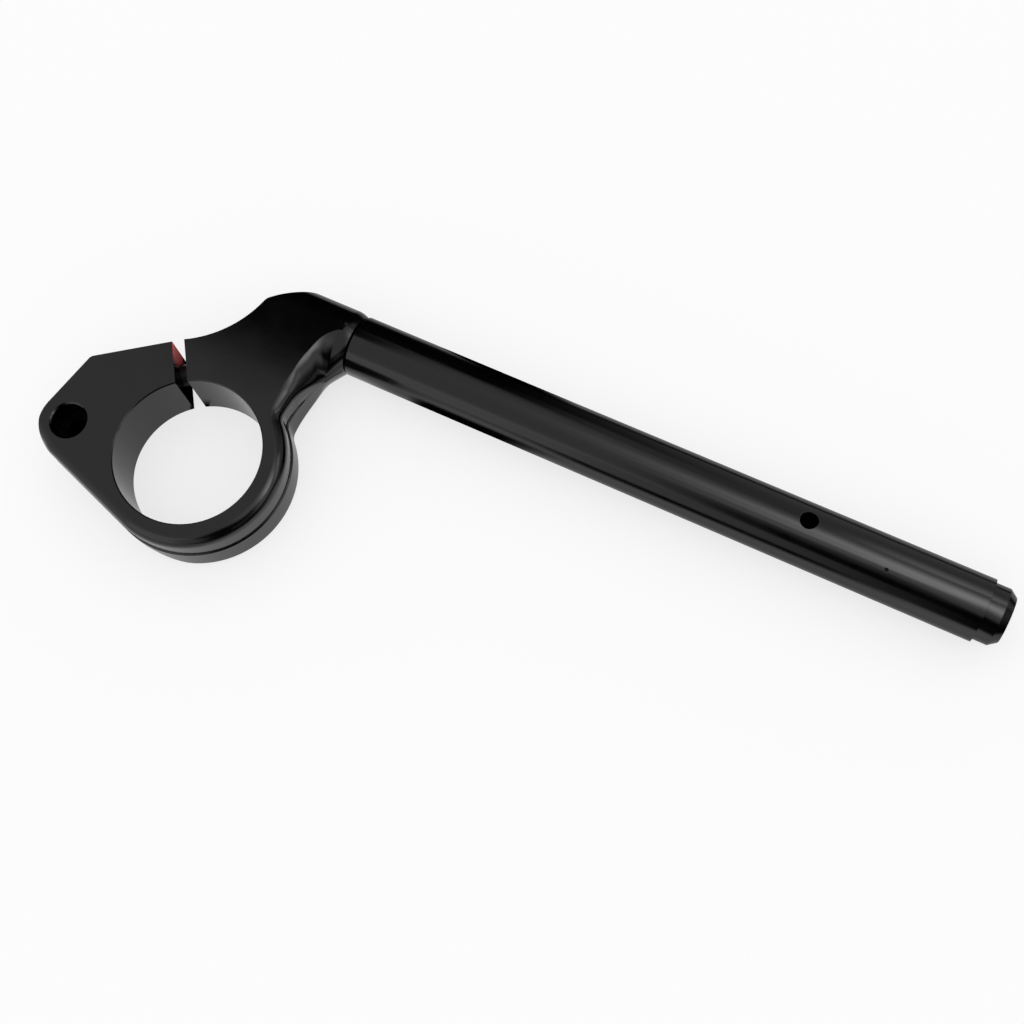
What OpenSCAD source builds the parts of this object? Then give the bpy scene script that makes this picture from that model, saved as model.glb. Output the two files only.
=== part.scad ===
// Clip-on handlebar, left or right half of a pair: a forged bracket that clamps round a fork
// tube, a turned bar tube pressed into its boss, and the pinch screw that closes the clamp.
// Origin: axis of the fork clamp, on the bracket's underside. +Z runs up the fork tube,
// +X along the bar tube to its free end, +Y from the fork to the bar.

/* [Fork clamp] */
// Diameter of the fork tube that the clamp closes on
clamp_d = 53; // [48:0.5:54]
// Wall of the ring round the bore, on the side away from the bar
ring_wall = 7.3; // [6.5:0.1:9]
// How far the forged ring lies off the bore's centre, towards the bar's free end
ring_shift = 0.9; // [0:0.1:1.5]
// Thickness of the bracket along the fork tube, which is also the boss's diameter
body_t = 23.8; // [23:0.1:26]
// Chamfer at both ends of the bore
bore_chamfer = 0.4; // [0.2:0.1:1]

/* [Slit and lugs] */
// Direction of the slit, seen from above
slit_angle = 124.5; // [120:0.5:128]
// Width of the slit with the screw just nipped up
slit_w = 4.4; // [3:0.1:6]
// Metal between the bore and the outer flat of the lugs
lug_h = 16; // [15.5:0.1:18]
// Length of the screw's lug, from the slit to its far corner
lug_l = 33.6; // [32:0.2:36]
// Radius of the corner beside the far end of that lug
lug_corner_r = 3; // [2:0.5:5]
// Radius of the lug's tip round the yoke bolt
lug_tip_r = 13.5; // [12.5:0.5:15]
// Place of the lug's tip circle along the bar's direction, from the bore
lug_tip_x = -42; // [-44:0.5:-40]
// Place of the lug's tip circle across the bar, from the bore
lug_tip_y = -7.4; // [-9:0.2:-6]

/* [Yoke bolt hole] */
// Distance of the yoke bolt from the centre of the lug's tip circle
yoke_bolt_shift = 2.8; // [1:0.2:3.4]
// Clearance hole for the yoke bolt
yoke_hole_d = 8.5; // [6.5:0.1:9]
// Counterbore for the yoke bolt's head
yoke_cbore_d = 12.8; // [11:0.1:13.4]
// Depth of that counterbore
yoke_cbore_h = 10; // [6:0.5:14]
// Chamfer round the counterbore
yoke_chamfer = 0.6; // [0.2:0.1:1]

/* [Neck and boss] */
// Distance from the fork's axis to the bar's axis
bar_offset = 63.75; // [62:0.25:68]
// Place of the boss's mouth along the bar
mouth_x = 31.4; // [30:0.2:33]
// Place of the neck's narrowest point on the inner side
waist_x = 23; // [22:0.2:24]
// Radius of the valley between the ring and the neck
valley_r = 5; // [4:0.5:7]
// Radius of the milled sweep on the outer side of the neck
sweep_r = 40; // [34:1:50]
// How far the foot of that sweep stands above the lugs' flat
sweep_rise = 0.35; // [0:0.05:0.6]
// How much less the boss stands out on its far side than its radius
boss_flat = 0.35; // [0:0.05:0.6]
// Place of the boss's closed end along the bar
boss_end_x = -3.4; // [-6:0.2:-2]
// Radius of the corner at the closed end
boss_corner_r = 4.5; // [3:0.5:6]
// Slope of the milled flat that slants across the closed end
boss_slant = 41; // [36:1:46]
// Length of the rounding at the boss's mouth
mouth_round_l = 4.2; // [2:0.2:5]
// Depth of that rounding
mouth_round_h = 1.2; // [0.5:0.1:1.4]

/* [Forging] */
// Radius of the forged edge under the top face
edge_top_r = 5; // [3:0.5:6]
// Radius of the forged edge over the bottom face
edge_bottom_r = 2; // [1.5:0.5:4]
// Width of the forged slope that replaces that edge under the screw's lug
slope_w = 3.5; // [2:0.5:4]
// Height of that slope
slope_h = 10; // [6:0.5:10]
// Directions on the ring between which the slope runs out into the plain edge
slope_from = 262; // [250:1:265]
slope_to = 292; // [280:1:300]
// Draft of the forged walls, either side of the parting plane
draft = 1.5; // [0:0.5:3]
// Stock that the contour milling takes off the lug's tip where its cut begins
mill_stock = 0.15; // [0.1:0.05:0.3]
// Direction on the lug's tip where the forged wall starts
forged_from = 238; // [225:1:242]

/* [Bar tube] */
// Outer diameter of the bar, the standard for grips and controls
bar_d = 22.2; // [22:0.1:22.4]
// Bore of the bar
bar_bore = 14; // [12:0.5:15]
// Length of the bar outside the boss, up to the step at its free end
bar_l = 234.1; // [180:1:260]
// Diameter of the spigot that is pressed into the boss
spigot_d = 18.4; // [17.5:0.1:19]
// Length of that spigot
spigot_l = 19; // [14:0.5:20]
// Chamfer of the bar's shoulder at the boss
shoulder_chamfer = 1; // [0.5:0.1:1.4]
// Diameter of the step at the free end
step_d = 20.1; // [19:0.1:21]
// Length of that step with its chamfer
step_l = 8; // [6:0.5:10]
// Length of the chamfer at the very end
end_chamfer_l = 2.7; // [1:0.1:3.5]
// Width of the ring that the chamfer leaves round the bore
end_land = 1; // [0.6:0.1:1.4]

/* [Holes in the bar] */
// Hole that takes the locating pin of the switch housing
pin_hole_d = 6.3; // [4:0.1:7]
// Distance of that hole from the shoulder at the boss
pin_hole_x = 171.6; // [120:1:175]
// How far the hole leans from straight up, towards the far side
pin_hole_lean = 8.7; // [-20:0.5:20]
// Diameter of the centre-punch mark
punch_d = 1.4; // [0.8:0.1:2]
// Distance of the mark from the pin hole
punch_dx = 28.9; // [20:0.5:34]
// How far the mark leans from straight up, towards the fork
punch_lean = 19.3; // [-10:0.5:30]

/* [Pinch screw] */
// Nominal thread diameter of the pinch screw
screw_d = 8; // [6:0.5:8]
// Length of the screw under its head
screw_l = 40; // [36:1:41]
// Diameter of the screw's head
head_d = 13; // [11.5:0.1:13.2]
// Height of the screw's head
head_h = 8; // [6:0.5:9]
// Width across flats of the hexagon socket
hex_af = 6; // [4:0.5:6.5]
// Depth of the hexagon socket
hex_h = 4; // [3:0.5:5]
// Distance of the head's seat from the middle of the slit
seat_s = 20; // [16:0.5:22]
// Clearance round the screw's head, on the radius
head_gap = 0.5; // [0.3:0.1:0.8]
// Clearance round the screw's shank in the near lug, on the radius
shank_gap = 0.25; // [0.1:0.05:0.5]
// Clearance of the plain shank in the tapped hole, on the radius
thread_gap = 0.05; // [0.02:0.01:0.1]
// Depth that the tapped hole has past the screw's point
tap_runout = 2; // [1:0.5:4]

/* [Hidden] */

black_satin = [0.10, 0.10, 0.11];
black_bar = [0.13, 0.13, 0.14];
black_steel = [0.05, 0.05, 0.05];

fine = 96;
over = 1;

// Heights
mid_z = body_t / 2;
boss_r = body_t / 2;
face_r = boss_r - mouth_round_h;

// The slit's own axes, along the slit and across it
slit_dir = [cos(slit_angle), sin(slit_angle)];
cross_dir = [sin(slit_angle), -cos(slit_angle)];
lug_flat = clamp_d / 2 + lug_h;
screw_u = clamp_d / 2 + lug_h / 2;

// Circles that the outline of the forging is drawn round
ring_c = [ring_shift, 0];
ring_r = clamp_d / 2 + ring_wall;
tip_c = [lug_tip_x, lug_tip_y];
corner_c = (lug_flat - lug_corner_r) * slit_dir - (lug_l - lug_corner_r) * cross_dir;

// Outward normals of the two straight walls that touch those circles
lower_a = tangent_angle(ring_c, ring_r, tip_c, lug_tip_r);
end_a = tangent_angle(tip_c, lug_tip_r, corner_c, lug_corner_r) + 360;

// The blank's lug is wider: its end wall leaves the tip at forged_from
raw_tip_r = lug_tip_r + mill_stock;
raw_corner_r = raw_tip_r + (tip_c - corner_c) * unit(forged_from);

// Inner side of the neck: a valley that touches the ring, then a sweep up to the mouth
valley_x = waist_x + valley_r;
valley_y = sqrt(pow(ring_r + valley_r, 2) - pow(valley_x - ring_shift, 2));
valley_a = atan2(valley_y, valley_x - ring_shift);
neck_dx = mouth_x - waist_x;
neck_dy = bar_offset - face_r - valley_y;
neck_r = (pow(neck_dx, 2) + pow(neck_dy, 2)) / (2 * neck_dx);
neck_c = [waist_x + neck_r, valley_y];
neck_end_a = asin(neck_dy / neck_r);
round_a = acos(1 - (neck_dx - mouth_round_l) / neck_r);

// Outer side of the neck: the milled sweep from the slit's edge to the boss's closed end
sweep_a = (lug_flat + sweep_rise) * slit_dir + slit_w / 2 * cross_dir;
sweep_b = [boss_end_x, bar_offset - boss_corner_r / 2];
sweep_half = norm(sweep_b - sweep_a) / 2;
sweep_run = (sweep_b - sweep_a) / (2 * sweep_half);
sweep_side = [-sweep_run.y, sweep_run.x];
sweep_c = (sweep_a + sweep_b) / 2 + sqrt(pow(sweep_r, 2) - pow(sweep_half, 2)) * sweep_side;
sweep_start = angle_of(sweep_b - sweep_c);
sweep_end = angle_of(sweep_a - sweep_c);
boss_corner_c = sweep_b + boss_corner_r * unit(sweep_start);

// The forging is taller than the milled bracket by face_stock on each side
face_stock = 0.15;
raw_h = body_t / 2 + face_stock;
raw_end_x = boss_end_x - 10;
arc_end = 84;
arc_steps = 12;
ring_steps = 38;
valley_steps = 7;
neck_steps = 14;
mouth_steps = 4;
corner_steps = 6;
tip_steps = 8;

function unit(a) = [cos(a), sin(a)];
function angle_of(v) = atan2(v.y, v.x);

// Angle of the outward normal of the line that touches two circles on their right-hand side
function tangent_angle(c1, r1, c2, r2) =
    angle_of(c1 - c2) - acos((r2 - r1) / norm(c1 - c2));

function arc(c, r, a0, a1, n) = [for (i = [0:n]) c + r * unit(a0 + (a1 - a0) * i / n)];

// A station of the forging: the wall's point on the parting plane, the direction that it faces,
// the half height there, and the widths and heights of its top and bottom edge rounds
function station(p, d, h, top_w, top_h, low_w, low_h) = [p, d, h, [top_w, top_h], [low_w, low_h]];
function wall(p, a) =
    let (f = slope_share(a))
    station(p, unit(a), raw_h, edge_top_r, edge_top_r,
        edge_bottom_r + (slope_w - edge_bottom_r) * f,
        edge_bottom_r + (slope_h - edge_bottom_r) * f);

// Share of the slope in the lower edge of a wall that faces the direction a: all of it under
// the lug, none on the rest of the ring, and a soft run between them
function slope_share(a) =
    let (
        turn = a < slit_angle ? a + 360 : a,
        t = max(0, min(1, (slope_to - turn) / (slope_to - slope_from)))
    )
    t * t * (3 - 2 * t);
function wall_arc(c, r, a0, a1, n) =
    [for (i = [0:n]) let (a = a0 + (a1 - a0) * i / n) wall(c + r * unit(a), a)];

// Radius of the boss at a distance x behind its mouth
function mouth_r(x) =
    boss_r - mouth_round_h * pow(1 - min(x, mouth_round_l) / mouth_round_l, 2);

// The neck's edge rounds widen towards the mouth until they meet in the boss's full circle
neck_stations = [
    for (i = [1:neck_steps])
        let (
            f = 1 - pow(1 - i / neck_steps, 1.4),
            a = round_a * f,
            p = neck_c - neck_r * [cos(a), -sin(a)],
            full_w = bar_offset - neck_c.y - neck_r * sin(round_a),
            turn = 0.28 * f + 0.72 * pow(f, 5),
            wide = 0.2 * f + 0.8 * pow(f, 6),
            tall = 0.3 * f + 0.7 * pow(f, 4)
        )
        station(p, unit(-90 * turn), raw_h,
            edge_top_r + (full_w - edge_top_r) * wide, edge_top_r + (boss_r - edge_top_r) * tall,
            edge_bottom_r + (full_w - edge_bottom_r) * wide,
            edge_bottom_r + (boss_r - edge_bottom_r) * tall)
];

// The mouth, rounded in steps along the bar: first up to it, then back from it
mouth_near = [
    for (i = [1:mouth_steps])
        let (
            a = round_a + (neck_end_a - round_a) * i / mouth_steps,
            p = neck_c - neck_r * [cos(a), -sin(a)],
            r = mouth_r(mouth_x - p.x),
            w = bar_offset - p.y
        )
        station(p, [0, -1], r + face_stock, w, r, w, r)
];
mouth_far = concat(
    [for (i = [mouth_steps - 1:-1:0]) boss_station(mouth_near[i][0].x, 1)],
    [boss_station(mouth_x - mouth_round_l, 1)]
);
function boss_station(x, side) =
    let (
        r = mouth_r(mouth_x - x),
        w = side > 0 ? r - boss_flat : r
    )
    station([x, bar_offset + side * w], [0, side], r + face_stock, w, r, w, r);

stations = concat(
    wall_arc(ring_c, ring_r, lower_a, valley_a, ring_steps),
    [
        for (i = [1:valley_steps])
            let (a = valley_a * (1 - i / valley_steps))
            wall([valley_x, valley_y] - valley_r * unit(a), a)
    ],
    neck_stations,
    mouth_near,
    mouth_far,
    [boss_station(raw_end_x, 1), boss_station(raw_end_x, -1)],
    wall_arc(corner_c, raw_corner_r, slit_angle, forged_from, corner_steps),
    wall_arc(tip_c, raw_tip_r, forged_from, lower_a + 360, tip_steps)
);

// Point of one station, on the lower (side -1) or upper (side 1) edge round at angle a
function edge_point(s, side, a) =
    let (
        r = side > 0 ? s[3] : s[4],
        straight = s[2] - r[1],
        inset = r[0] * (1 - cos(a)) + straight * tan(draft),
        xy = s[0] - s[1] * inset
    )
    [xy.x, xy.y, mid_z + side * (straight + r[1] * sin(a))];
function cap_point(s, side) =
    let (p = edge_point(s, side, arc_end))
    [p.x, p.y, mid_z + side * s[2]];
function section_points(s) = concat(
    [cap_point(s, -1)],
    [for (k = [arc_steps:-1:0]) edge_point(s, -1, arc_end * k / arc_steps)],
    [[s[0].x, s[0].y, mid_z]],
    [for (k = [0:arc_steps]) edge_point(s, 1, arc_end * k / arc_steps)],
    [cap_point(s, 1)]
);

// The forged blank: one closed skin lofted round the stations, with strips across the mouth
module forging() {
    count = len(stations);
    rows = 2 * arc_steps + 5;
    near = ring_steps + valley_steps + neck_steps;
    far = near + 2 * mouth_steps + 1;
    skin = [
        for (i = [0:count - 1])
            for (k = [0:rows - 2])
                let (j = (i + 1) % count)
                [i * rows + k, i * rows + k + 1, j * rows + k + 1, j * rows + k]
    ];
    ends = [for (i = [0:count - 1]) if (i <= near || i >= far) i];
    strips = [
        for (m = [0:mouth_steps - 1])
            [near + m, near + m + 1, far - m - 1, far - m]
    ];
    bottom = [
        [for (i = ends) i * rows],
        for (s = strips) [for (i = s) i * rows]
    ];
    top = [
        [for (i = [len(ends) - 1:-1:0]) ends[i] * rows + rows - 1],
        for (s = strips) [for (i = [3:-1:0]) s[i] * rows + rows - 1]
    ];
    polyhedron([for (s = stations) each section_points(s)], concat(skin, bottom, top), 10);
}

// What the contour mill leaves: its path runs down the slanted flat, round the neck's sweep,
// along the lugs' flat and round the lug's tip, and stays clear of the forged walls
module milled_outline() {
    reach = 60;
    leave_a = forged_from - 9;
    slant_start = boss_corner_c + boss_corner_r * unit(90 + boss_slant);
    tip_end = tip_c + lug_tip_r * unit(leave_a);
    linear_extrude(body_t)
        polygon(concat(
            [[mouth_x + reach, -reach * 1.5], [mouth_x + reach, bar_offset + reach]],
            [slant_start + reach * unit(boss_slant)],
            arc(boss_corner_c, boss_corner_r, 90 + boss_slant, 180 + sweep_start, 6),
            arc(sweep_c, sweep_r, sweep_start, sweep_end, 16),
            arc(corner_c, lug_corner_r, slit_angle, end_a, 6),
            arc(tip_c, lug_tip_r, end_a, leave_a, 10),
            [tip_end + reach * unit(leave_a + 90)],
            [[lug_tip_x, -reach * 1.5]]
        ));
}

// Turns children that lie along +Z onto the screw's axis, from the middle of the slit
module on_screw_axis() {
    translate([screw_u * slit_dir.x, screw_u * slit_dir.y, mid_z])
        rotate([0, 90, slit_angle - 90])
            children();
}

// A straight hole along +Z from z0 to z1
module hole(d, z0, z1) {
    translate([0, 0, z0])
        cylinder(h = z1 - z0, d = d, $fn = fine);
}

// A conical chamfer that opens upwards at height z
module chamfer_cut(d, c, z) {
    translate([0, 0, z - c])
        cylinder(h = c + over, d1 = d, d2 = d + 2 * (c + over), $fn = fine);
}

module clamp_bore() {
    hole(clamp_d, -over, body_t + over);
    chamfer_cut(clamp_d, bore_chamfer, body_t);
    mirror([0, 0, 1])
        chamfer_cut(clamp_d, bore_chamfer, 0);
}

module slit() {
    rotate([0, 0, slit_angle])
        translate([0, -slit_w / 2, -over])
            cube([lug_flat + lug_h, slit_w, body_t + 2 * over]);
}

module screw_holes() {
    on_screw_axis() {
        hole(head_d + 2 * head_gap, -lug_l - lug_h, -seat_s);
        hole(screw_d + 2 * shank_gap, -seat_s - over, 0);
        hole(screw_d + 2 * thread_gap, 0, screw_l - seat_s + tap_runout);
    }
}

module yoke_hole() {
    translate([tip_c.x - yoke_bolt_shift, tip_c.y, 0]) {
        hole(yoke_hole_d, -over, body_t);
        hole(yoke_cbore_d, body_t - yoke_cbore_h, body_t + over);
        chamfer_cut(yoke_cbore_d, yoke_chamfer, body_t);
    }
}

module bar_socket() {
    translate([mouth_x, bar_offset, mid_z])
        rotate([0, 90, 0])
            hole(spigot_d, -spigot_l - over, over);
}

module clamp_bracket() {
    color(black_satin)
        difference() {
            intersection() {
                forging();
                milled_outline();
            }
            clamp_bore();
            slit();
            screw_holes();
            yoke_hole();
            bar_socket();
        }
}

// Outline of the bar as turned: spigot, chamfered shoulder, grip length, step and end chamfer
module bar_profile() {
    end_r = bar_bore / 2 + end_land;
    polygon([
        [bar_bore / 2, -spigot_l],
        [spigot_d / 2, -spigot_l],
        [spigot_d / 2, 0],
        [bar_d / 2 - shoulder_chamfer, 0],
        [bar_d / 2, shoulder_chamfer],
        [bar_d / 2, bar_l],
        [step_d / 2, bar_l],
        [step_d / 2, bar_l + step_l - end_chamfer_l],
        [end_r, bar_l + step_l],
        [bar_bore / 2, bar_l + step_l]
    ]);
}

// Turns children that lie along +Z outwards at a place on the bar, leaning from straight up
module on_bar(x, lean) {
    translate([mouth_x + x, bar_offset, mid_z])
        rotate([-lean, 0, 0])
            children();
}

module bar_tube() {
    color(black_bar)
        difference() {
            translate([mouth_x, bar_offset, mid_z])
                rotate([0, 90, 0])
                    rotate_extrude($fn = fine)
                        bar_profile();
            on_bar(pin_hole_x, pin_hole_lean)
                hole(pin_hole_d, 0, bar_d);
            on_bar(pin_hole_x + punch_dx, -punch_lean)
                translate([0, 0, bar_d / 2 - punch_d / 2])
                    cylinder(h = punch_d, d1 = 0, d2 = 2 * punch_d, $fn = fine);
        }
}

module pinch_screw() {
    head_edge = 0.8;
    head_top_d = head_d - 2 * head_edge;
    point_d = screw_d - 2 * head_edge;
    color(black_steel)
        on_screw_axis()
            translate([0, 0, -seat_s])
                difference() {
                    union() {
                        cylinder(h = screw_l - head_edge, d = screw_d, $fn = fine);
                        translate([0, 0, screw_l - head_edge])
                            cylinder(h = head_edge, d1 = screw_d, d2 = point_d, $fn = fine);
                        translate([0, 0, head_edge - head_h])
                            cylinder(h = head_h - head_edge, d = head_d, $fn = fine);
                        translate([0, 0, -head_h])
                            cylinder(h = head_edge, d1 = head_top_d, d2 = head_d, $fn = fine);
                    }
                    translate([0, 0, -head_h - over])
                        cylinder(h = hex_h + over, d = hex_af / cos(30), $fn = 6);
                }
}

clamp_bracket();
bar_tube();
pinch_screw();
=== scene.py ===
import math

import bpy
import numpy as np
from mathutils import Matrix, Vector


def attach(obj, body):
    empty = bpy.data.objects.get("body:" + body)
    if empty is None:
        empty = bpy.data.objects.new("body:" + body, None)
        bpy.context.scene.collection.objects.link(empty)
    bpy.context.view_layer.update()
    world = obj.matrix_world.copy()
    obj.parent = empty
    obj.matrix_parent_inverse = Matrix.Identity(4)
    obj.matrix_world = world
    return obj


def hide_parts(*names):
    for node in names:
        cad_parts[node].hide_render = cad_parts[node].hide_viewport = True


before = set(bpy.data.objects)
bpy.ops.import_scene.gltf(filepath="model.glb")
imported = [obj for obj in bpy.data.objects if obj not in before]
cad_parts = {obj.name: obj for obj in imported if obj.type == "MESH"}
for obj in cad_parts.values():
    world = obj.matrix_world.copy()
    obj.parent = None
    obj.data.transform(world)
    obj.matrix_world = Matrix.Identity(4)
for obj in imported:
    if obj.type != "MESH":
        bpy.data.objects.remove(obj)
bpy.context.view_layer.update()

MM = 0.001

# The bracket's main places, in metres, as the part's source gives them
BODY_T = 23.8 * MM
MID_Z = BODY_T / 2
SLIT_ANGLE = math.radians(124.5)
SLIT_HALF = 2.2 * MM
BAR_Y = 63.75 * MM
MOUTH_X = 31.4 * MM

# Counterbore in the lug's end
HOLE_X, HOLE_Y = -44.8 * MM, -7.4 * MM
HOLE_R = 6.4 * MM

# Inner side of the neck on the parting plane, an arc from the valley up to the boss's mouth
NECK_R = 42.248 * MM
NECK_X, NECK_Y = 65.248 * MM, 27.767 * MM
NECK_TURN = math.radians(25.765)

# The forging's edge round, the boss, its straight stretch at the parting plane and the walls' draft
EDGE_R = 5.0 * MM
BOSS_R = 11.9 * MM
STOCK = 0.15 * MM
DRAFT = math.tan(math.radians(1.5))

# What lies further than this from the bar's axis is the outside, and not the bore for the spigot
SPIGOT_CLEAR = 9.8 * MM

# Where the neck's fine mesh starts, and from where on its ridge is shaped
SLOPE_FROM_X = 15 * MM
SLOPE_FROM_Y = 34 * MM
RIDGE_FROM_Y = 30 * MM

# Round at the boss's mouth, along the bar and across it
MOUTH_ROUND_L = 4.2 * MM
MOUTH_ROUND_H = 1.2 * MM

# Step where the die's halves met: half its height, how far the upper half stands back,
# and where it runs out on the way up the neck
STEP_HALF = 0.42 * MM
STEP_DEEP = 0.50 * MM
STEP_END_X = (22 * MM, 26 * MM)
STEP_END_Y = 30 * MM


# Camera at the photograph's place, from the fit to the clamp's bore and the bar's edges
FOCAL_PIXELS = 1502.0
PICTURE_PIXELS = 1024.0


def make_camera():
    data = bpy.data.cameras.new("photo_camera")
    data.sensor_width = 36.0
    data.lens = FOCAL_PIXELS / PICTURE_PIXELS * data.sensor_width
    data.clip_start = 0.01
    data.clip_end = 50.0
    camera = bpy.data.objects.new("photo_camera", data)
    bpy.context.scene.collection.objects.link(camera)
    right = Vector((0.894247, 0.439470, -0.084788))
    up = Vector((-0.393091, 0.861751, 0.320726))
    back = Vector((0.214016, -0.253479, 0.943369))
    camera.matrix_world = Matrix.Translation((0.220215, -0.100500, 0.497935)) @ Matrix((
        (right.x, up.x, back.x, 0.0),
        (right.y, up.y, back.y, 0.0),
        (right.z, up.z, back.z, 0.0),
        (0.0, 0.0, 0.0, 1.0),
    ))
    bpy.context.scene.camera = camera


make_camera()


# Small helpers for node trees

def new_material(name):
    material = bpy.data.materials.new(name)
    material.use_nodes = True
    tree = material.node_tree
    tree.nodes.clear()
    out = tree.nodes.new("ShaderNodeOutputMaterial")
    return material, tree, out


def join(tree, value, socket):
    if isinstance(value, bpy.types.NodeSocket):
        tree.links.new(value, socket)
    else:
        socket.default_value = value


def node(tree, kind, settings=None, **inputs):
    made = tree.nodes.new(kind)
    for key, value in (settings or {}).items():
        setattr(made, key, value)
    for key, value in inputs.items():
        join(tree, value, made.inputs[key.replace("_", " ")])
    return made


def maths(tree, operation, a, b=None, c=None):
    made = tree.nodes.new("ShaderNodeMath")
    made.operation = operation
    for slot, value in enumerate((a, b, c)):
        if value is not None:
            join(tree, value, made.inputs[slot])
    return made.outputs[0]


def ramp(tree, value, low, high, start=0.0, end=1.0):
    """Smooth change from start to end as value goes from low to high."""
    made = node(tree, "ShaderNodeMapRange", {"interpolation_type": "SMOOTHSTEP"})
    join(tree, value, made.inputs["Value"])
    made.inputs["From Min"].default_value = low
    made.inputs["From Max"].default_value = high
    made.inputs["To Min"].default_value = start
    made.inputs["To Max"].default_value = end
    return made.outputs["Result"]


def times(tree, first, *rest):
    for value in rest:
        first = maths(tree, "MULTIPLY", first, value)
    return first


def blend_colour(tree, share, low, high):
    made = node(tree, "ShaderNodeMix", {"data_type": "RGBA"})
    join(tree, share, made.inputs[0])
    join(tree, low, made.inputs[6])
    join(tree, high, made.inputs[7])
    return made.outputs[2]


def new_group(name, inputs, outputs):
    group = bpy.data.node_groups.new(name, "ShaderNodeTree")
    for label, kind, value in inputs:
        socket = group.interface.new_socket(label, in_out="INPUT", socket_type=kind)
        if value is not None:
            socket.default_value = value
    for label, kind in outputs:
        group.interface.new_socket(label, in_out="OUTPUT", socket_type=kind)
    return group, group.nodes.new("NodeGroupInput"), group.nodes.new("NodeGroupOutput")


def place_group(tree, group, **inputs):
    made = tree.nodes.new("ShaderNodeGroup")
    made.node_tree = group
    for key, value in inputs.items():
        join(tree, value, made.inputs[key.replace("_", " ")])
    return made


FLOAT = "NodeSocketFloat"
VECTOR = "NodeSocketVector"


# Shared effects

def make_coat_group():
    """Thin black coat over metal: cloudy gloss, orange peel and a fine grain, as masks and a height."""
    group, source, sink = new_group(
        "coat_skin",
        [("Place", VECTOR, None), ("Peel size", FLOAT, 900.0), ("Grain size", FLOAT, 6000.0),
         ("Grain share", FLOAT, 0.3)],
        [("Cloud", FLOAT), ("Height", FLOAT)],
    )
    place = source.outputs["Place"]
    cloud = node(group, "ShaderNodeTexNoise", Vector=place, Scale=70.0, Detail=4.0, Roughness=0.55)
    peel = node(group, "ShaderNodeTexNoise", Vector=place, Scale=source.outputs["Peel size"], Detail=1.0)
    grain = node(group, "ShaderNodeTexNoise", Vector=place, Scale=source.outputs["Grain size"], Detail=2.0)
    fine = maths(group, "MULTIPLY", grain.outputs[0], source.outputs["Grain share"])
    join(group, cloud.outputs[0], sink.inputs["Cloud"])
    join(group, maths(group, "ADD", peel.outputs[0], fine), sink.inputs["Height"])
    return group


def make_turning_group():
    """Fine rings left by turning, round an axis along X."""
    group, source, sink = new_group(
        "turning_rings",
        [("Place", VECTOR, None), ("Rings per metre", FLOAT, 4000.0)],
        [("Height", FLOAT)],
    )
    parts = node(group, "ShaderNodeSeparateXYZ", Vector=source.outputs["Place"])
    along = node(group, "ShaderNodeCombineXYZ", X=parts.outputs[0])
    rings = node(group, "ShaderNodeTexNoise", Vector=along.outputs[0], Detail=3.0, Roughness=0.6)
    join(group, source.outputs["Rings per metre"], rings.inputs["Scale"])
    join(group, rings.outputs[0], sink.inputs["Height"])
    return group


coat_skin = make_coat_group()
turning_rings = make_turning_group()


# Finishes, each from its darkest or smoothest patch to its palest or roughest
COAT_BLACK = ((0.0004, 0.0004, 0.0005, 1), (0.0012, 0.0012, 0.0013, 1))
LACQUER_RED = ((0.30, 0.002, 0.004, 1), (0.50, 0.006, 0.010, 1))
OXIDE_BLACK = ((0.010, 0.010, 0.011, 1), (0.030, 0.029, 0.028, 1))
CLOUD_SPAN = (0.3, 0.7)
COAT_ROUGH = (0.12, 0.18)
OXIDE_ROUGH = (0.30, 0.42)

# Where the red lacquer in the slit begins, outwards from the bore's axis and upwards
RED_ALONG = (34.0 * MM, 38.0 * MM)
RED_UP = (11.0 * MM, 15.0 * MM)

# How strongly the coat mirrors: full gloss outside, and a weak gloss in the slit and the lug's hole as
# painted shade for these dark recesses
OUTSIDE_GLOSS = 0.5
SHADED_RECESS_GLOSS = 0.12


def coat_shader(tree, out, colour, roughness, normal):
    shader = node(tree, "ShaderNodeBsdfPrincipled")
    join(tree, colour, shader.inputs["Base Color"])
    join(tree, roughness, shader.inputs["Roughness"])
    join(tree, normal, shader.inputs["Normal"])
    shader.inputs["Metallic"].default_value = 0.0
    shader.inputs["IOR"].default_value = 1.5
    join(tree, shader.outputs[0], out.inputs["Surface"])
    return shader


def slit_place(tree, x, y):
    """Distance across the clamp's slit and along it, from the bore's axis."""
    across = maths(tree, "ADD", maths(tree, "MULTIPLY", x, math.sin(SLIT_ANGLE)),
                   maths(tree, "MULTIPLY", y, -math.cos(SLIT_ANGLE)))
    along = maths(tree, "ADD", maths(tree, "MULTIPLY", x, math.cos(SLIT_ANGLE)),
                  maths(tree, "MULTIPLY", y, math.sin(SLIT_ANGLE)))
    return across, along


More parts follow.
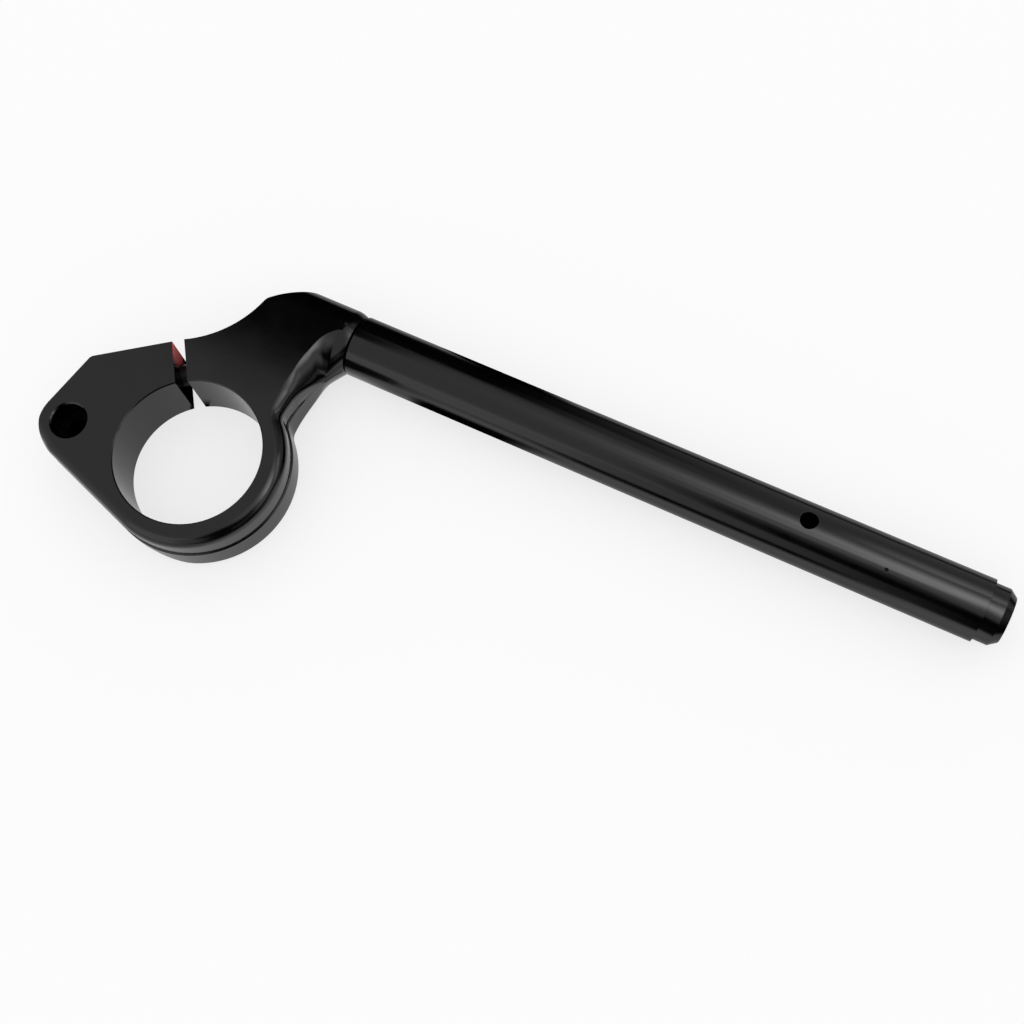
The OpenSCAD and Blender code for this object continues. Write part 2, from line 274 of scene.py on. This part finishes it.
def bracket_finish(name, gloss):
    """Satin black coat on the forging, with the red lacquer in the slit."""
    material, tree, out = new_material(name)
    place = node(tree, "ShaderNodeTexCoord").outputs["Object"]
    parts = node(tree, "ShaderNodeSeparateXYZ", Vector=place)
    x, y, z = parts.outputs
    skin = place_group(tree, coat_skin, Place=place, Peel_size=500.0, Grain_size=5000.0, Grain_share=0.25)

    across, along = slit_place(tree, x, y)
    in_slit = maths(tree, "LESS_THAN", maths(tree, "ABSOLUTE", across), SLIT_HALF + 0.06 * MM)
    ragged = node(tree, "ShaderNodeTexNoise", Vector=place, Scale=300.0, Detail=3.0).outputs[0]
    edge_z = maths(tree, "MULTIPLY_ADD", ragged, 4.0 * MM, z)
    red = maths(tree, "MULTIPLY", in_slit, ramp(tree, along, *RED_ALONG))
    red = maths(tree, "MULTIPLY", red, ramp(tree, edge_z, *RED_UP))

    black = blend_colour(tree, skin.outputs["Cloud"], *COAT_BLACK)
    lacquer = blend_colour(tree, ragged, *LACQUER_RED)
    colour = blend_colour(tree, red, black, lacquer)
    rough = ramp(tree, skin.outputs["Cloud"], *CLOUD_SPAN, *COAT_ROUGH)
    rough = maths(tree, "MULTIPLY_ADD", red, 0.15, rough)

    rounded = node(tree, "ShaderNodeBevel", {"samples": 6}, Radius=0.18 * MM)
    peel = node(tree, "ShaderNodeBump", Strength=0.25, Distance=0.02 * MM, Height=skin.outputs["Height"],
                Normal=rounded.outputs[0])
    shader = coat_shader(tree, out, colour, rough, peel.outputs[0])
    shader.inputs["Specular IOR Level"].default_value = gloss
    return material


def bar_finish():
    """Black coat on the turned tube."""
    material, tree, out = new_material("satin_black_tube")
    place = node(tree, "ShaderNodeTexCoord").outputs["Object"]
    skin = place_group(tree, coat_skin, Place=place, Peel_size=700.0, Grain_size=6000.0, Grain_share=0.25)
    rings = place_group(tree, turning_rings, Place=place, Rings_per_metre=3500.0)
    colour = blend_colour(tree, skin.outputs["Cloud"], *COAT_BLACK)
    rough = ramp(tree, skin.outputs["Cloud"], *CLOUD_SPAN, *COAT_ROUGH)
    rounded = node(tree, "ShaderNodeBevel", {"samples": 6}, Radius=0.2 * MM)
    peel = node(tree, "ShaderNodeBump", Strength=0.2, Distance=0.02 * MM, Height=skin.outputs["Height"],
                Normal=rounded.outputs[0])
    turned = node(tree, "ShaderNodeBump", Strength=0.2, Distance=0.004 * MM, Height=rings.outputs[0],
                  Normal=peel.outputs[0])
    coat_shader(tree, out, colour, rough, turned.outputs[0])
    return material


def screw_finish():
    """Oiled black oxide on the pinch screw's steel."""
    material, tree, out = new_material("black_oxide_steel")
    place = node(tree, "ShaderNodeTexCoord").outputs["Object"]
    skin = place_group(tree, coat_skin, Place=place, Peel_size=2500.0, Grain_size=9000.0, Grain_share=0.5)
    colour = blend_colour(tree, skin.outputs["Cloud"], *OXIDE_BLACK)
    rough = ramp(tree, skin.outputs["Cloud"], *CLOUD_SPAN, *OXIDE_ROUGH)
    grain = node(tree, "ShaderNodeBump", Strength=0.3, Distance=0.01 * MM, Height=skin.outputs["Height"])
    shader = coat_shader(tree, out, colour, rough, grain.outputs[0])
    shader.inputs["Metallic"].default_value = 0.6
    return material


# Pieces

# Corners closer than this are one corner
SAME_PLACE = 0.001 * MM


def smooth_skin(piece):
    """Smooth shading on curved faces, with flat faces shaded flat and sharp edges kept."""
    bpy.ops.object.select_all(action="DESELECT")
    piece.select_set(True)
    bpy.context.view_layer.objects.active = piece
    bpy.ops.object.shade_smooth_by_angle(angle=math.radians(30))
    weight = piece.modifiers.new("flat_faces_first", "WEIGHTED_NORMAL")
    weight.mode = "FACE_AREA"
    weight.weight = 100
    weight.keep_sharp = True
    bpy.ops.object.modifier_apply(modifier=weight.name)


def merged_copy(name, node_name, material):
    """The CAD solid with its triangles joined, so that curved skin shades smooth and edges stay crisp."""
    bpy.ops.object.select_all(action="DESELECT")
    piece = bpy.data.objects.new(name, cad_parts[node_name].data.copy())
    bpy.context.scene.collection.objects.link(piece)
    piece.select_set(True)
    bpy.context.view_layer.objects.active = piece
    bpy.ops.object.mode_set(mode="EDIT")
    bpy.ops.mesh.select_all(action="SELECT")
    bpy.ops.mesh.remove_doubles(threshold=SAME_PLACE)
    bpy.ops.object.mode_set(mode="OBJECT")
    bpy.ops.mesh.customdata_custom_splitnormals_clear()
    piece.data.materials.clear()
    piece.data.materials.append(material)
    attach(piece, "root")
    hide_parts(node_name)
    return piece


def soft_step(value, low, high):
    share = np.clip((value - low) / (high - low), 0.0, 1.0)
    return share * share * (3.0 - 2.0 * share)


def neck_place(share):
    """Where the neck's wall stands at a share of its way to the mouth, and which way it faces."""
    turn = NECK_TURN * share
    facing = -0.5 * math.pi * (0.28 * share + 0.72 * share ** 5)
    wall = np.stack([NECK_X - NECK_R * np.cos(turn), NECK_Y + NECK_R * np.sin(turn)], -1)
    return wall, np.stack([np.cos(facing), np.sin(facing)], -1)


def crisp_ridge(piece):
    """The forging's top stays flat up to a crisp ridge along the neck, and slopes from there to the mouth."""
    mesh = piece.data
    bpy.ops.object.mode_set(mode="EDIT")
    bpy.ops.mesh.select_all(action="DESELECT")
    bpy.ops.mesh.select_mode(type="FACE")
    bpy.ops.object.mode_set(mode="OBJECT")
    for face in mesh.polygons:
        x, y, z = face.center
        off_axis = math.hypot(y - BAR_Y, z - MID_Z)
        face.select = (SLOPE_FROM_X < x < MOUTH_X - 0.1 * MM and SLOPE_FROM_Y < y < BAR_Y
                       and z > MID_Z and off_axis > SPIGOT_CLEAR and face.normal.z < 0.9999)
    bpy.ops.object.mode_set(mode="EDIT")
    bpy.ops.mesh.subdivide(number_cuts=2)
    bpy.ops.object.mode_set(mode="OBJECT")

    place = np.empty(len(mesh.vertices) * 3)
    mesh.vertices.foreach_get("co", place)
    place = place.reshape(-1, 3)
    x, y, z = place.T
    near = ((x > SLOPE_FROM_X) & (x < MOUTH_X + MM) & (y > RIDGE_FROM_Y) & (y < BAR_Y)
            & (z > MID_Z + 0.1 * MM) & (np.hypot(y - BAR_Y, z - MID_Z) > SPIGOT_CLEAR))
    shares = np.linspace(0.0, 1.0, 801)
    walls, faces = neck_place(shares)
    wide = 0.2 * shares + 0.8 * shares ** 6
    tall = 0.3 * shares + 0.7 * shares ** 4
    full_w = BAR_Y - walls[-1, 1]
    for index in np.nonzero(near)[0]:
        at = place[index]
        height = at[2] - MID_Z
        if at[0] < walls[-1, 0]:
            off = at[:2] - walls
            side = off[:, 0] * faces[:, 1] - off[:, 1] * faces[:, 0]
            inward = -(off * faces).sum(1)
            found = np.nonzero((side[:-1] * side[1:] <= 0) & (inward[:-1] > -MM))[0]
            if not len(found):
                continue
            k = found[0]
            share, wall, face = shares[k], walls[k], faces[k]
            depth = inward[k]
            run = EDGE_R + (full_w - EDGE_R) * wide[k]
            rise = EDGE_R + (BOSS_R - EDGE_R) * tall[k]
            straight = BODY_T / 2 + STOCK - rise
            top = BODY_T / 2
            crisp = 1.0 + 0.5 * soft_step(share, 0.30, 0.75)
            narrow = 1.0 - 0.15 * soft_step(share, 0.35, 0.65) * (1.0 - soft_step(share, 0.86, 0.97))
        else:
            back = MOUTH_X - at[0]
            turn = math.acos((NECK_X - at[0]) / NECK_R)
            wall = np.array([at[0], NECK_Y + NECK_R * math.sin(turn)])
            face = np.array([0.0, -1.0])
            depth = at[1] - wall[1]
            run = BAR_Y - wall[1]
            rise = BOSS_R - MOUTH_ROUND_H * (1.0 - min(back, MOUTH_ROUND_L) / MOUTH_ROUND_L) ** 2
            straight = STOCK
            top = min(BODY_T / 2, straight + rise)
            crisp = 1.0 + 0.5 * min(1.0, max(0.0, back / MOUTH_ROUND_L))
            narrow = 1.0
        depth -= straight * DRAFT
        if height < straight or depth > run:
            continue
        angle = math.atan2((height - straight) / rise, max(1e-6, 1.0 - depth / run))
        full_angle = math.asin(min(1.0, (top - straight) / rise))
        share_up = min(1.0, math.sin(angle) / math.sin(full_angle))
        depth = run * narrow * (1.0 - math.cos(min(angle, full_angle)) ** crisp)
        wall = wall - face * (depth + straight * DRAFT)
        place[index] = (wall[0], wall[1], MID_Z + straight + (top - straight) * share_up ** crisp)
    mesh.vertices.foreach_set("co", place.ravel())
    mesh.update()


def parting_step(piece):
    """Step round the forged walls where the die's halves met: the lower half stands a little proud."""
    mesh = piece.data
    bpy.ops.object.select_all(action="DESELECT")
    piece.select_set(True)
    bpy.context.view_layer.objects.active = piece
    bpy.ops.object.mode_set(mode="EDIT")
    bpy.ops.mesh.select_mode(type="EDGE")
    bpy.ops.mesh.select_all(action="DESELECT")
    bpy.ops.object.mode_set(mode="OBJECT")
    level = [abs(v.co.z - MID_Z) < 0.002 * MM for v in mesh.vertices]
    lean = {}
    for face in mesh.polygons:
        for key in face.edge_keys:
            lean.setdefault(key, []).append(face.normal.z)
    for edge in mesh.edges:
        sides = lean[edge.key]
        edge.select = (level[edge.vertices[0]] and level[edge.vertices[1]]
                       and max(sides) > 0.008 and min(sides) < -0.008 and max(map(abs, sides)) < 0.9)
    bpy.ops.object.mode_set(mode="EDIT")
    bpy.ops.mesh.bevel(offset=STEP_HALF, offset_type="OFFSET", segments=2, profile=0.5, affect="EDGES")
    bpy.ops.object.mode_set(mode="OBJECT")
    for vertex in mesh.vertices:
        if vertex.select and vertex.co.z > MID_Z - 0.05 * MM:
            outward = Vector((vertex.normal.x, vertex.normal.y, 0.0)).normalized()
            deep = STEP_DEEP
            if vertex.co.y > STEP_END_Y:
                deep *= 1.0 - float(soft_step(vertex.co.x, *STEP_END_X))
            vertex.co -= outward * deep
    mesh.update()


def slit_faces(piece):
    """The slit's walls and the lug's hole get a weak gloss: painted shade for the dark in these recesses."""
    # The second material's weak gloss paints shade into the slit and the lug's hole
    piece.data.materials.append(bracket_finish("painted_shade_coat_in_slit", SHADED_RECESS_GLOSS))
    for face in piece.data.polygons:
        x, y, z = face.center
        across = x * math.sin(SLIT_ANGLE) - y * math.cos(SLIT_ANGLE)
        along = x * math.cos(SLIT_ANGLE) + y * math.sin(SLIT_ANGLE)
        in_slit = abs(across) < SLIT_HALF + 0.02 * MM and along > 20 * MM and abs(face.normal.z) < 0.5
        in_hole = math.hypot(x - HOLE_X, y - HOLE_Y) < HOLE_R + 0.02 * MM
        if in_slit or in_hole:
            face.material_index = 1


bracket = merged_copy("bracket_forging", "clamp_bracket", bracket_finish("satin_black_forging", OUTSIDE_GLOSS))
crisp_ridge(bracket)
parting_step(bracket)
slit_faces(bracket)
bar = merged_copy("bar_turned_tube", "bar_tube", bar_finish())
screw = merged_copy("socket_pinch_screw", "pinch_screw", screw_finish())
for piece in (bracket, bar, screw):
    smooth_skin(piece)


# Studio: white table, light tent and a plain white world

# How much of the table's picture is plain white, and how much keeps the shadow
FLOOR_WHITE = 0.70


def make_floor():
    bpy.ops.object.select_all(action="DESELECT")
    bpy.ops.mesh.primitive_circle_add(vertices=64, radius=3.0, fill_type="NGON", location=(0.1, 0.0, 0.0))
    floor = bpy.context.active_object
    floor.name = "studio_floor"
    material, tree, out = new_material("white_table")
    paper = node(tree, "ShaderNodeBsdfDiffuse", Color=(0.93, 0.93, 0.93, 1.0))
    white = node(tree, "ShaderNodeEmission", Strength=1.0)
    rays = node(tree, "ShaderNodeLightPath")
    seen = maths(tree, "MAXIMUM", rays.outputs["Is Camera Ray"], rays.outputs["Is Glossy Ray"])
    seen = maths(tree, "MAXIMUM", seen, rays.outputs["Is Transmission Ray"])
    mixed = node(tree, "ShaderNodeMixShader", Fac=maths(tree, "MULTIPLY", seen, FLOOR_WHITE))
    join(tree, paper.outputs[0], mixed.inputs[1])
    join(tree, white.outputs[0], mixed.inputs[2])
    join(tree, mixed.outputs[0], out.inputs["Surface"])
    floor.data.materials.append(material)


# Inside of the light tent, in metres
TENT_LOW = (-0.35, -0.45, 0.0003)
TENT_HIGH = (0.60, 0.22, 0.278)

# Even light of the ceiling, and its soft patches: centre, spread and strength
CEILING_LIGHT = 0.66
BAR_PATCH = (0.29, 0.075, 0.10, 0.05, 3.4)
NECK_PATCH = (0.17, -0.07, 0.04, 0.04, 0.4)
CLAMP_PATCH = (-0.10, -0.45, 0.15, 0.09, 0.7)

# Strength of the light at the left end, and of what the table's front sends up
LEFT_LIGHT = 0.7
TABLE_LIGHT = 0.62

# A face of the tent is told from its neighbours by its place, within these distances of the corner
CORNER_NEAR = 0.001
CORNER_FAR = 0.002


def patch(tree, x, y, centre_x, centre_y, radius_x, radius_y, peak):
    """Soft round patch of light."""
    dx = maths(tree, "DIVIDE", maths(tree, "SUBTRACT", x, centre_x), radius_x)
    dy = maths(tree, "DIVIDE", maths(tree, "SUBTRACT", y, centre_y), radius_y)
    square = maths(tree, "ADD", maths(tree, "MULTIPLY", dx, dx), maths(tree, "MULTIPLY", dy, dy))
    fall = maths(tree, "EXPONENT", maths(tree, "MULTIPLY", square, -0.5))
    return maths(tree, "MULTIPLY", fall, peak)


def all_but(tree, dark):
    return maths(tree, "SUBTRACT", 1.0, dark)


def falls(tree, value, low, high, start=1.0, end=0.0):
    """Smooth change down from start to end as value goes from low to high."""
    return ramp(tree, value, low, high, start, end)


def ceiling_light(tree, x, y):
    """Bright above the bar's free end, dark in the far left corner and above the photographer."""
    light = maths(tree, "ADD", patch(tree, x, y, *BAR_PATCH), CEILING_LIGHT)
    light = maths(tree, "ADD", light, patch(tree, x, y, *NECK_PATCH))
    light = maths(tree, "ADD", light, patch(tree, x, y, *CLAMP_PATCH))
    corner = times(tree, ramp(tree, y, 0.104, 0.127), falls(tree, x, -0.060, -0.030))
    person = times(tree, ramp(tree, x, 0.07, 0.17), falls(tree, y, -0.19, -0.10))
    beside = times(tree, ramp(tree, x, 0.28, 0.40), falls(tree, y, -0.13, -0.03))
    person = maths(tree, "MAXIMUM", person, beside)
    return times(tree, light, all_but(tree, corner), all_but(tree, person))


def far_light(tree, x, z):
    """Dark behind the clamp, half dark behind the grip, bright high up at the right."""
    high = times(tree, ramp(tree, z, 0.08, 0.16, 0.0, 0.42), ramp(tree, x, 0.04, 0.10))
    upper = times(tree, ramp(tree, z, 0.17, 0.24, 0.0, 0.45), ramp(tree, x, -0.07, -0.02))
    far = maths(tree, "MAXIMUM", ramp(tree, x, 0.05, 0.20, 0.0, 0.45), high)
    far = maths(tree, "MAXIMUM", far, upper)
    bright = times(tree, ramp(tree, x, 0.20, 0.26), ramp(tree, z, 0.10, 0.22, 0.0, 1.4))
    return maths(tree, "ADD", far, bright)


def near_light(tree, x):
    """Pale on the left, the photographer on the right."""
    return maths(tree, "ADD", falls(tree, x, 0.10, 0.34, 0.68), falls(tree, x, -0.02, 0.06, 0.4))


def right_light(tree, y, z):
    """Dark low down and towards the photographer."""
    return times(tree, ramp(tree, z, 0.03, 0.20, 0.03, 1.0), ramp(tree, y, -0.20, -0.05, 0.25, 1.0))


def table_parts(tree, x, y):
    """Where the cloth over the table is closed: where the table's light runs out, and painted shade that
    reflections see on the table under the ring and the bar.
    """
    from_ring = maths(tree, "SQRT", maths(tree, "ADD", maths(tree, "MULTIPLY", x, x),
                                          maths(tree, "MULTIPLY", y, y)))
    shade = times(tree, ramp(tree, from_ring, 0.075, 0.125), ramp(tree, x, 0.04, 0.08),
                  falls(tree, y, -0.02, 0.03), falls(tree, x, 0.20, 0.26))
    front = falls(tree, y, -0.075, -0.045)
    behind = maths(tree, "ADD", ramp(tree, y, 0.070, 0.085, 0.0, 0.5), ramp(tree, y, 0.10, 0.16, 0.0, 0.5))
    # The next three patches are painted shade in reflections: the table under the ring, under the bar and in
    # the nook beside it
    under_ring = falls(tree, from_ring, 0.040, 0.055, 0.3)
    under_bar = times(tree, ramp(tree, y, 0.02, 0.052, 0.0, 0.55), ramp(tree, x, 0.03, 0.05))
    bar_contact_shade = times(tree, ramp(tree, y, 0.020, 0.036), ramp(tree, x, 0.045, 0.060),
                 falls(tree, x, 0.09, 0.13))
    # No light reaches the table inside the slit and the lug's hole
    across, along = slit_place(tree, x, y)
    in_slit = times(tree, falls(tree, maths(tree, "ABSOLUTE", across), 3.0 * MM, 4.0 * MM),
                    ramp(tree, along, 22.0 * MM, 26.0 * MM),
                    falls(tree, along, 75.0 * MM, 85.0 * MM))
    from_hole = node(tree, "ShaderNodeVectorMath", {"operation": "DISTANCE"})
    join(tree, node(tree, "ShaderNodeCombineXYZ", X=x, Y=y).outputs[0], from_hole.inputs[0])
    from_hole.inputs[1].default_value = (HOLE_X, HOLE_Y, 0.0)
    in_hole = falls(tree, from_hole.outputs["Value"], HOLE_R, HOLE_R + 1.0 * MM)
    beyond = ramp(tree, x, 0.285, 0.32)
    closed = (beyond, shade, front, behind, under_ring, under_bar, bar_contact_shade, in_slit, in_hole)
    light = times(tree, front, all_but(tree, beyond), all_but(tree, shade),
                  all_but(tree, ramp(tree, x, 0.10, 0.34, 0.0, 0.6)))
    return closed, maths(tree, "MULTIPLY", light, TABLE_LIGHT)


def tent_cloth():
    """The tent's light, which changes from wall to wall and over each wall."""
    material, tree, out = new_material("tent_cloth")
    place = node(tree, "ShaderNodeTexCoord").outputs["Object"]
    x, y, z = node(tree, "ShaderNodeSeparateXYZ", Vector=place).outputs

    at_far = ramp(tree, y, TENT_HIGH[1] - CORNER_FAR, TENT_HIGH[1] - CORNER_NEAR)
    at_near = falls(tree, y, TENT_LOW[1] + CORNER_NEAR, TENT_LOW[1] + CORNER_FAR)
    at_right = ramp(tree, x, TENT_HIGH[0] - CORNER_FAR, TENT_HIGH[0] - CORNER_NEAR)
    at_left = falls(tree, x, TENT_LOW[0] + CORNER_NEAR, TENT_LOW[0] + CORNER_FAR)
    at_top = ramp(tree, z, TENT_HIGH[2] - CORNER_FAR, TENT_HIGH[2] - CORNER_NEAR)
    at_floor = falls(tree, z, TENT_LOW[2] + CORNER_NEAR, TENT_LOW[2] + CORNER_FAR)

    closed_parts, table = table_parts(tree, x, y)
    closed = all_but(tree, at_floor)
    for part in closed_parts:
        closed = maths(tree, "MAXIMUM", closed, part)

    walls = (
        (far_light(tree, x, z), at_far),
        (near_light(tree, x), at_near),
        (right_light(tree, y, z), at_right),
        (LEFT_LIGHT, at_left),
    )
    total = times(tree, ceiling_light(tree, x, y), at_top)
    for light, share in walls:
        wall = times(tree, share, light, all_but(tree, at_top), all_but(tree, at_floor))
        total = maths(tree, "ADD", total, wall)
    total = maths(tree, "ADD", total, times(tree, table, at_floor))
    cloth = node(tree, "ShaderNodeEmission", Strength=total)
    open_air = node(tree, "ShaderNodeBsdfTransparent")
    shown = node(tree, "ShaderNodeMixShader", Fac=closed)
    join(tree, open_air.outputs[0], shown.inputs[1])
    join(tree, cloth.outputs[0], shown.inputs[2])
    join(tree, shown.outputs[0], out.inputs["Surface"])
    return material


def make_tent():
    """A white tent over the table that only reflections see, with the dark gaps that a studio has."""
    bpy.ops.object.select_all(action="DESELECT")
    middle = [(low + high) / 2 for low, high in zip(TENT_LOW, TENT_HIGH)]
    size = [high - low for low, high in zip(TENT_LOW, TENT_HIGH)]
    bpy.ops.mesh.primitive_cube_add(size=1.0, location=middle, scale=size)
    tent = bpy.context.active_object
    tent.name = "light_tent"
    bpy.ops.object.transform_apply(location=True, rotation=True, scale=True)
    tent.data.materials.append(tent_cloth())
    tent.visible_camera = False
    tent.visible_diffuse = False
    tent.visible_transmission = False
    tent.visible_shadow = False


def make_world():
    world = bpy.data.worlds.new("studio_world")
    bpy.context.scene.world = world
    world.use_nodes = True
    tree = world.node_tree
    tree.nodes.clear()
    out = tree.nodes.new("ShaderNodeOutputWorld")
    sky = node(tree, "ShaderNodeBackground", Color=(1.0, 1.0, 1.0, 1.0), Strength=1.0)
    join(tree, sky.outputs[0], out.inputs["Surface"])


make_floor()
make_tent()
make_world()


bpy.context.scene.view_settings.view_transform = "Standard"
